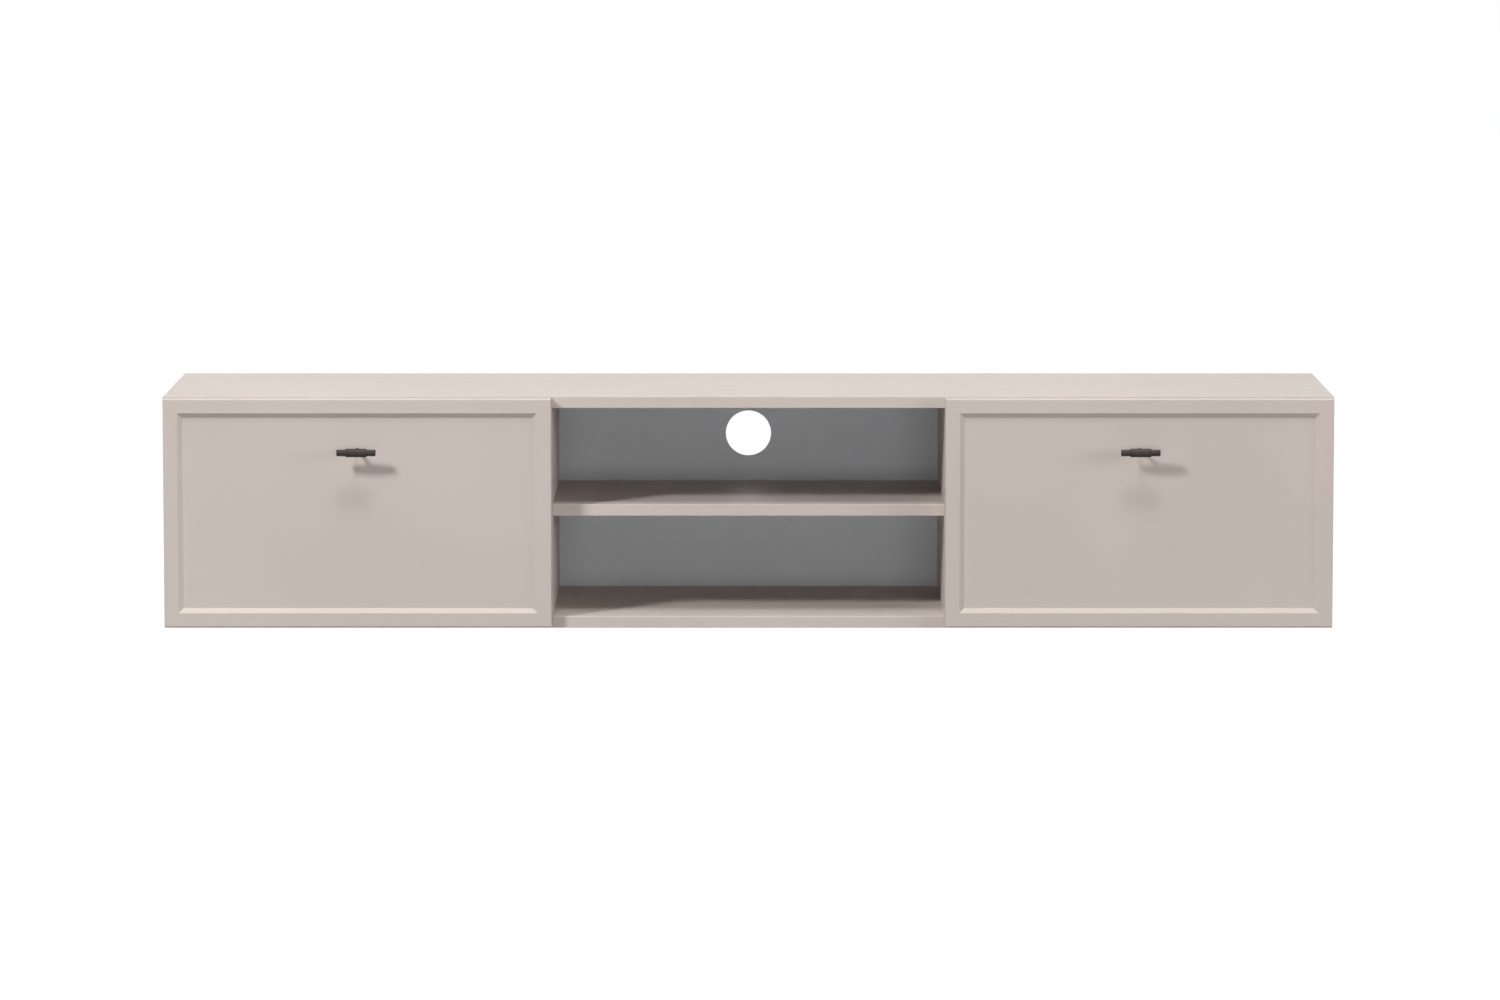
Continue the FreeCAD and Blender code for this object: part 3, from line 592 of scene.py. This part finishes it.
def turned(profile, steps, origin, axis, across):
    """Grid of origin + along axis + radius (cos across + sin third), third square to both.

    The profile holds (distance along the axis, radius) pairs. across is a unit vector square to the
    axis, and the ring runs from it by the right-hand rule."""
    axis, across = np.array(axis, float), np.array(across, float)
    angle = np.linspace(0.0, 2 * math.pi, steps, endpoint=False)
    third = np.cross(axis, across)
    spoke = np.cos(angle)[:, None] * across + np.sin(angle)[:, None] * third
    along, radius = profile[:, 0], profile[:, 1]
    return np.array(origin) + along[:, None, None] * axis + radius[:, None, None] * spoke[None]


def handle_piece(side, part, grid, tube=False):
    """Turned piece of a handle that stands for the plain solid of that part."""
    piece = ring_mesh(f"{side}_turned_{part}", [grid], powder_coat, side + "_flap", tube)
    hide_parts(f"{side}_handle_{part}")


handle_middles = {}
for side in SIDES:
    low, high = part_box(side + "_handle_bar")
    handle_middles[side] = (low + high) / 2
    print(side, "handle is in the middle of x =", round(handle_middles[side].x, 4))

# %% [markdown]
# ### Bars
# A lathe leaves small chamfers at the ends, and here also two fine grooves, which catch the light as
# hair lines. Half of the profile is written down, and its mirror image makes the other half.

# %% Bars
BAR_RADIUS = 5.0 * MM
BAR_GROOVE_INSET = 4.0 * MM
END_CHAMFER = 0.8 * MM
CHAMFER_BELLY = (0.25, 0.55)
GROOVE_WIDTH = 0.5 * MM
GROOVE_DEPTH = 0.22 * MM


def grooved(half_length, radius, groove_inset):
    """Profile of a turned bar: bellied chamfers, and a V-groove at groove_inset from each end.

    The belly is one point at two shares of the chamfer: along the axis, and in from the radius."""
    groove = half_length - groove_inset
    belly_along, belly_in = CHAMFER_BELLY
    half = [
        (groove - GROOVE_WIDTH / 2, radius),
        (groove, radius - GROOVE_DEPTH),
        (groove + GROOVE_WIDTH / 2, radius),
        (half_length - END_CHAMFER, radius),
        (half_length - belly_along * END_CHAMFER, radius - belly_in * END_CHAMFER),
        (half_length, radius - END_CHAMFER),
    ]
    return np.array([(-along, r) for along, r in reversed(half)] + half)


for side, middle in handle_middles.items():
    low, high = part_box(side + "_handle_bar")
    profile = grooved((high.x - low.x) / 2, BAR_RADIUS, BAR_GROOVE_INSET)
    handle_piece(side, "bar", turned(profile, RING_STEPS, middle, RIGHT, BACKWARD))

# %% [markdown]
# ### Sleeves
# The sleeve has the same ends and grooves. Its profile also runs back through its bore, so that it
# closes like a tube.

# %% Sleeves
SLEEVE_RADIUS = 6.5 * MM
SLEEVE_GROOVE_INSET = 2.2 * MM
BORE_PLAY = 0.05 * MM

for side, middle in handle_middles.items():
    low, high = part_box(side + "_handle_sleeve")
    half = (high.x - low.x) / 2
    bore = [(half, BAR_RADIUS + BORE_PLAY), (-half, BAR_RADIUS + BORE_PLAY)]
    profile = np.concatenate([grooved(half, SLEEVE_RADIUS, SLEEVE_GROOVE_INSET), bore])
    handle_piece(side, "sleeve", turned(profile, RING_STEPS, middle, RIGHT, BACKWARD), tube=True)

# %% [markdown]
# ### Stems
# The stem stands on the sunk field on a small round foot and flares where it is soldered into the
# sleeve. Its foot is sunk by a hair into the board, so that no light shows under it.

# %% Stems
FOOT_RADIUS = 4.5 * MM
FOOT_HEIGHT = 1.6 * MM
FOOT_ROUND = 0.6 * MM
FOOT_SINK = 0.3 * MM
FOOT_BELLY = 0.3 * FOOT_ROUND
NECK_RADIUS = 2.7 * MM
FLARE_RADIUS = NECK_RADIUS + 0.5 * FOOT_ROUND


def stem_profile(stand):
    """Profile of a stem: a round foot on the board, a neck, and a flare that ends in the sleeve."""
    seat = stand - SLEEVE_RADIUS
    return np.array(
        [
            (-FOOT_SINK, FOOT_RADIUS),
            (FOOT_HEIGHT - FOOT_ROUND, FOOT_RADIUS),
            (FOOT_HEIGHT - FOOT_BELLY, FOOT_RADIUS - FOOT_BELLY),
            (FOOT_HEIGHT, FOOT_RADIUS - FOOT_ROUND),
            (FOOT_HEIGHT + FOOT_ROUND, NECK_RADIUS),
            (seat - FOOT_ROUND, NECK_RADIUS),
            (seat, FLARE_RADIUS),
            (seat + (SLEEVE_RADIUS - BAR_RADIUS) / 2, FLARE_RADIUS),
        ]
    )


for side, middle in handle_middles.items():
    foot = (middle.x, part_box(side + "_handle_stem")[1].y, middle.z)
    profile = stem_profile(foot[1] - middle.y)
    handle_piece(side, "stem", turned(profile, RING_STEPS, foot, FORWARD, RIGHT))

# %% [markdown]
# ## Screws
# Dozens of small screws hold the fittings. They are too small to matter in the construction, but
# their heads show when a flap is down. A screw head is one polar grid: a dome whose height falls
# with the radius, minus a cross-shaped dip that gets shallower outwards. Height as a formula of two
# parameters needs no cutting, and one function serves every size and every direction.

# %% Screw heads
HEAD_RINGS = 9
HEAD_STEPS = 32
HEAD_EYE = 0.02
CROSS_HALF_WIDTH = 0.16
CROSS_REACH = 0.62


def screw_head(place, outward, across, radius, height, dip):
    """Grid of a head: height sqrt(1 - share ** 4) - dip sqrt(1 - share / reach) inside the cross.

    share goes from 1 at the rim to almost 0 in the middle, and the cross is where the smaller of
    the two coordinates is under half the width of an arm."""
    share = np.linspace(1.0, HEAD_EYE, HEAD_RINGS)[:, None]
    angle = np.linspace(0.0, 2 * math.pi, HEAD_STEPS, endpoint=False)
    u, v = share * np.cos(angle), share * np.sin(angle)
    arm = np.minimum(abs(u), abs(v)) < CROSS_HALF_WIDTH
    cross = arm * np.clip((CROSS_REACH - share) / CROSS_REACH, 0.0, 1.0) ** 0.5
    lift = height * (1.0 - share**4) ** 0.5 - dip * cross
    outward, across = np.array(outward, float), np.array(across, float)
    third = np.cross(outward, across)
    head = np.array(place) + lift[..., None] * outward
    return head + radius * (u[..., None] * across + v[..., None] * third)


PAN_HEAD = {"radius": 3.2 * MM, "height": 1.9 * MM, "dip": 1.3 * MM}
FLUSH_HEAD = {"radius": 2.6 * MM, "height": 0.12 * MM, "dip": 0.1 * MM}
print("points of a screw head:", HEAD_RINGS * HEAD_STEPS)

# %% [markdown]
# Each fitting says where its screws sit. Those places come from the solids' boxes, plus a few
# distances that belong to the fitting. The heads are gathered per body, because a screw in a flap
# has to swing with the flap. The first ones are the pan heads in the flanges of the stays' bases.
# A stay on a compartment's left wall points to the right, and one on its right wall to the left.

# %% Screws of the stays' bases
INWARD = {"left_outer": 1, "left_inner": -1, "right_inner": 1, "right_outer": -1}
FLANGE_SHEET = 1.5 * MM
FLANGE_SCREW_OFFSET = 22.0 * MM

screws = {"carcass": [], "left_flap": [], "right_flap": []}


def wall_of(node, way):
    """x of the wall behind a fitting: its low side where it points to +x, and else its high side."""
    low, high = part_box(node)
    return low.x if way > 0 else high.x


for name, way in INWARD.items():
    low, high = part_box(name + "_stay_base")
    x = wall_of(name + "_stay_base", way) + way * FLANGE_SHEET
    for offset in (-FLANGE_SCREW_OFFSET, FLANGE_SCREW_OFFSET):
        place = (x, (low.y + high.y) / 2, (low.z + high.z) / 2 + offset)
        screws["carcass"].append(screw_head(place, (way, 0, 0), UP, **PAN_HEAD))
print("screws so far in the carcass:", len(screws["carcass"]))

# %% [markdown]
# A hanger carries a quarter of the console, so its lug has two screws. Two more, with flat heads
# and deep crosses, face the front: they set the height and the distance from the wall, and are
# turned through the open compartment.

# %% Screws of the hangers
LUG_SHEET = 2.5 * MM
LUG_HEIGHT = 16.0 * MM
LUG_SCREWS_FROM_BACK = (7.0 * MM, 21.0 * MM)
HANGER_HEIGHT = 58.0 * MM
ADJUSTER_OFFSET = 9.0 * MM
ADJUSTER_HEAD = {"radius": 3.6 * MM, "height": 1.2 * MM, "dip": 1.1 * MM}

for name, way in INWARD.items():
    low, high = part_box(name + "_hanger")
    x = wall_of(name + "_hanger", way) + way * LUG_SHEET
    for from_back in LUG_SCREWS_FROM_BACK:
        place = (x, high.y - from_back, low.z + LUG_HEIGHT / 2)
        screws["carcass"].append(screw_head(place, (way, 0, 0), UP, **PAN_HEAD))
    for offset in (-ADJUSTER_OFFSET, ADJUSTER_OFFSET):
        place = ((low.x + high.x) / 2, low.y, high.z - HANGER_HEIGHT / 2 + offset)
        screws["carcass"].append(screw_head(place, FORWARD, RIGHT, **ADJUSTER_HEAD))
print("screws so far in the carcass:", len(screws["carcass"]))

# %% [markdown]
# Each stay's bracket stands on the back of its flap, with one screw above and one below. Both
# brackets of a flap come under one name, so their box doesn't tell where each of them is. But the
# rod runs at a fixed distance from the wall, and the wall is known from the stay's base.

# %% Screws of the stays' brackets
BRACKET_SHEET = 2.0 * MM
BRACKET_SCREW_OFFSET = 16.0 * MM
ROD_FROM_WALL = 15.8 * MM

for name, way in INWARD.items():
    side = name.split("_")[0]
    low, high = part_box(side + "_stay_brackets")
    x = wall_of(name + "_stay_base", way) + way * ROD_FROM_WALL
    for offset in (-BRACKET_SCREW_OFFSET, BRACKET_SCREW_OFFSET):
        place = (x, low.y + BRACKET_SHEET, (low.z + high.z) / 2 + offset)
        screws[side + "_flap"].append(screw_head(place, BACKWARD, UP, **PAN_HEAD))
print("screws so far in the left flap:", len(screws["left_flap"]))

# %% [markdown]
# The leaves of the hinges lie in the gap behind the flap, so only countersunk screws fit: three in
# a carcass leaf, and two in a flap leaf, which sit between the other three when the flap is shut.

# %% Screws of the hinges
HINGE_LENGTH = 60.0 * MM
LEAF_SHEET = 0.9 * MM
LEAF_SCREW_HEIGHT = 8.5 * MM
LEAF_SCREW_PITCH = 21.0 * MM

pin_low, pin_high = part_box("hinge_pins")
leaf_screw_z = (pin_low.z + pin_high.z) / 2 + LEAF_SCREW_HEIGHT
for side in SIDES:
    low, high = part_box(side + "_flap_hinge_leaves")
    flap_back = flap_boxes[side][1].y
    for hinge_x in (low.x + HINGE_LENGTH / 2, high.x - HINGE_LENGTH / 2):
        for step in (-1, 0, 1):
            place = (hinge_x + step * LEAF_SCREW_PITCH, carcass_front - LEAF_SHEET, leaf_screw_z)
            screws["carcass"].append(screw_head(place, FORWARD, UP, **FLUSH_HEAD))
        for step in (-0.5, 0.5):
            place = (hinge_x + step * LEAF_SCREW_PITCH, flap_back + LEAF_SHEET, leaf_screw_z)
            screws[side + "_flap"].append(screw_head(place, BACKWARD, UP, **FLUSH_HEAD))
print("screws so far in the left flap:", len(screws["left_flap"]))

# %% [markdown]
# A catch hangs under the top panel by its two lugs. Its strike plate lies on the back of the flap,
# near the top edge, and the magnet has to reach it, so its screws are countersunk. With these the
# list is complete, and one piece is made for each body.

# %% Screws of the catches and strike plates
CATCH_LUG_LENGTH = 9.0 * MM
CATCH_LUG_SHEET = 2.0 * MM
STRIKE_SCREW_INSET = 6.0 * MM

for side in SIDES:
    low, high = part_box(side + "_magnet_catch")
    for x in (low.x + CATCH_LUG_LENGTH / 2, high.x - CATCH_LUG_LENGTH / 2):
        place = (x, (low.y + high.y) / 2, high.z - CATCH_LUG_SHEET)
        screws["carcass"].append(screw_head(place, DOWN, RIGHT, **PAN_HEAD))
    low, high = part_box(side + "_strike_plate")
    for x in (low.x + STRIKE_SCREW_INSET, high.x - STRIKE_SCREW_INSET):
        place = (x, high.y, (low.z + high.z) / 2)
        screws[side + "_flap"].append(screw_head(place, BACKWARD, UP, **FLUSH_HEAD))

for body, heads in screws.items():
    print(body, "has", len(heads), "screws")
    ring_mesh(body + "_screws", heads, zinc, body)

# %% [markdown]
# ## Rubber dots
# Clear dots on the back of each flap quiet it when it shuts. In the construction a dot is a short
# cylinder. The real one is moulded with a domed top, so its profile is a low wall and a quarter of
# an ellipse. The arc stops two degrees short of the axis, where a tiny flat closes it.

# %% Rubber dots
DOT_WALL = 0.5 * MM
DOT_RING_STEPS = 32
DOME_END = 88.0


def dome_profile(radius, height, steps=7):
    """Profile of a dot: its wall, then (wall + rise sin, radius cos) from the wall to the middle."""
    swing = np.radians(np.linspace(0.0, DOME_END, steps))
    along = DOT_WALL + (height - DOT_WALL) * np.sin(swing)
    return np.vstack([[0.0, radius], np.stack([along, radius * np.cos(swing)], axis=1)])


for side in SIDES:
    low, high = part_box(side + "_bumpers")
    radius = (high.z - low.z) / 2
    profile = dome_profile(radius, high.y - low.y)
    places = [(x, low.y, (low.z + high.z) / 2) for x in (low.x + radius, high.x - radius)]
    dots = [turned(profile, DOT_RING_STEPS, place, BACKWARD, UP) for place in places]
    piece = ring_mesh(side + "_rubber_dots", dots, clear_rubber, side + "_flap")
    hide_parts(side + "_bumpers")

# %% [markdown]
# ## Poles of the catches
# A magnetic catch has its magnet between two steel poles, whose polished ends show in its face. A
# pole is a small plate with broken edges, and the function of the routed fronts already makes such
# plates. The poles lie a hair behind the face, so that the strike plate meets the plastic first.

# %% Poles of the catches
POLE_GAP = 12.0 * MM
POLE_HALF_WIDTH = 1.4 * MM
POLE_SETBACK = 0.1 * MM
POLE_DEPTH = 1.4 * MM
POLE_ARRIS = 0.2 * MM

pole_profile = np.array([(0.0, POLE_DEPTH), (0.0, POLE_ARRIS), (POLE_ARRIS, 0.0)])
for side in SIDES:
    low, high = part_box(side + "_magnet_catch")
    face_y = low.y + POLE_SETBACK
    poles = []
    for end in (-1, 1):
        x = (low.x + high.x) / 2 + end * POLE_GAP / 2
        pole_low = Vector((x - POLE_HALF_WIDTH, face_y, low.z))
        pole_high = Vector((x + POLE_HALF_WIDTH, face_y + POLE_DEPTH, high.z - CATCH_LUG_SHEET))
        poles.append(sunk_face(pole_low, pole_high, pole_profile))
    ring_mesh(side + "_catch_poles", poles, rod_steel, "carcass")

# %% [markdown]
# ## Screws of the brakes
# The screw on the side of each brake sets how hard it grips the rod. It lies on the axis on which
# the brake swivels, so its place comes from the joint and not from a box.

# %% Screws of the brakes
BRAKE_HEAD = {"radius": 4.0 * MM, "height": 1.5 * MM, "dip": 1.2 * MM}

pivots = {joint["name"]: joint["pos_m"] for joint in frame["joints"]}
for name, way in INWARD.items():
    pivot = pivots[name + "_brake_pivot"]
    low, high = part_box(name + "_brake_housing")
    place = (high.x if way > 0 else low.x, pivot[1], pivot[2])
    head = screw_head(place, (way, 0, 0), UP, **BRAKE_HEAD)
    ring_mesh(name + "_brake_screw", [head], zinc, name + "_brake")

# %% [markdown]
# ## World
# The console hangs in front of nothing but white. A white wall behind it would do that, but it
# would also throw its light back and wash the shadows out. So the world only looks white: a Light
# Path node tells a ray that looks from a ray that carries light. A reflection and a view through
# rubber count as looking too, or metal would mirror a dark room.

# %% Rays that look
LOOKS = ("Is Camera Ray", "Is Glossy Ray", "Is Transmission Ray")


def looking_rays(tree):
    """Socket that is 1 for a ray that looks and else 0: the largest of the three kinds' sockets."""
    path = tree.nodes.new("ShaderNodeLightPath")
    looking = path.outputs[LOOKS[0]]
    for kind in LOOKS[1:]:
        either = tree.nodes.new("ShaderNodeMath")
        either.operation = "MAXIMUM"
        tree.links.new(looking, either.inputs[0])
        tree.links.new(path.outputs[kind], either.inputs[1])
        looking = either.outputs["Value"]
    return looking


print("rays that look:", ", ".join(LOOKS))

# %% [markdown]
# With that socket, one strength can have two values. The rays that carry light find hardly any in
# the world, just enough to keep the deepest corners from going black, because the lamps do the
# lighting.

# %% World
AMBIENT = 0.02
WHITE = (1.0, 1.0, 1.0, 1.0)


def brightness(tree, target, unseen, seen):
    """Give a strength socket one value for rays that carry light and another for rays that look."""
    spread = tree.nodes.new("ShaderNodeMapRange")
    spread.inputs["To Min"].default_value = unseen
    spread.inputs["To Max"].default_value = seen
    tree.links.new(looking_rays(tree), spread.inputs["Value"])
    tree.links.new(spread.outputs["Result"], target)


world = bpy.data.worlds.new("studio")
bpy.context.scene.world = world
world.use_nodes = True
backdrop = world.node_tree.nodes["Background"]
backdrop.inputs["Color"].default_value = WHITE
brightness(world.node_tree, backdrop.inputs["Strength"], AMBIENT, 1.0)
print("the world lights with", AMBIENT, "and is seen as 1.0")

# %% [markdown]
# ## Floor
# The floor works the same way. Its paint is a plain grey, and a glow that only looking rays see adds
# the rest of its white. So it still takes the console's shadow, and throws little light back up.

# %% Floor
FLOOR_DROP = 0.62
FLOOR_HALF = 25.0
FLOOR_GLOW = 0.95

floor_z = console_foot - FLOOR_DROP
corners = [(x * FLOOR_HALF, y * FLOOR_HALF, floor_z) for x, y in ((-1, -1), (1, -1), (1, 1), (-1, 1))]
floor_mesh = bpy.data.meshes.new("floor")
floor_mesh.from_pydata(corners, [], [(0, 1, 2, 3)])
floor = bpy.data.objects.new("floor", floor_mesh)
bpy.context.scene.collection.objects.link(floor)

floor_paint = new_material("pale_floor", roughness=0.9)
tint(floor_paint, pattern(floor_paint, 500 * MM), linear(96, 96, 96), linear(100, 100, 100))
glow = add_node(floor_paint, "Emission")
both = add_node(floor_paint, "AddShader")
surface = floor_paint.node_tree.nodes["Material Output"].inputs["Surface"]
brightness(floor_paint.node_tree, glow.inputs["Strength"], 0.0, FLOOR_GLOW)
join(floor_paint, shader_of(floor_paint).outputs["BSDF"], both.inputs[0])
join(floor_paint, glow.outputs["Emission"], both.inputs[1])
join(floor_paint, both.outputs["Shader"], surface)
floor_mesh.materials.append(floor_paint)
print("floor at z =", round(floor_z, 3))

# %% [markdown]
# ## Lamps
# Soft boxes do the lighting, each with one task. One big lamp would be simpler, but the routed step
# and the handles would look flat under it. The key lamp stands high on the left and throws the
# clear, slanting shadow of each handle. Alone it would darken every slope that faces right, so a
# large lamp stands far round on the right and lights mostly those slopes. The overhead lamp adds a
# second, faint shadow straight down, and the ceiling lamp brightens the top. The fill lamp stands
# level with the niche, so that its light reaches the back panel between the boards. The right lamp
# and the back lamp stand behind the front's plane, where they light nothing but the right side and
# the wall side, for whoever walks round the console.

# %% Lamps
console_middle = Vector((0.0, carcass_front, (console_top + console_foot) / 2))


def soft_box(name, place, size, watts):
    """Rectangular lamp that is turned towards the middle of the console."""
    data = bpy.data.lights.new(name, "AREA")
    data.shape = "RECTANGLE"
    data.size, data.size_y = size
    data.energy = watts
    lamp = bpy.data.objects.new(name, data)
    way = console_middle - Vector(place)
    lamp.location = place
    lamp.rotation_euler = way.to_track_quat("-Z", "Y").to_euler()
    lamp.visible_camera = False
    bpy.context.scene.collection.objects.link(lamp)
    print(name, "is", round(way.length, 2), "m from the console")


soft_box("key_lamp", (-3.54, -3.88, 3.16), size=(0.9, 0.9), watts=238.0)
soft_box("side_lamp", (5.0, -2.8, 0.7), size=(2.0, 1.6), watts=98.0)
soft_box("overhead_lamp", (0.1, -3.99, 8.45), size=(2.2, 1.4), watts=270.0)
soft_box("ceiling_lamp", (0.2, -0.73, 3.5), size=(2.6, 0.9), watts=58.0)
soft_box("fill_lamp", (0.2, -7.0, -0.13), size=(2.6, 1.0), watts=67.0)
soft_box("right_lamp", (4.2, 0.4, -0.13), size=(1.0, 1.0), watts=48.0)
soft_box("back_lamp", (0.8, 4.0, -0.45), size=(3.0, 1.0), watts=36.0)
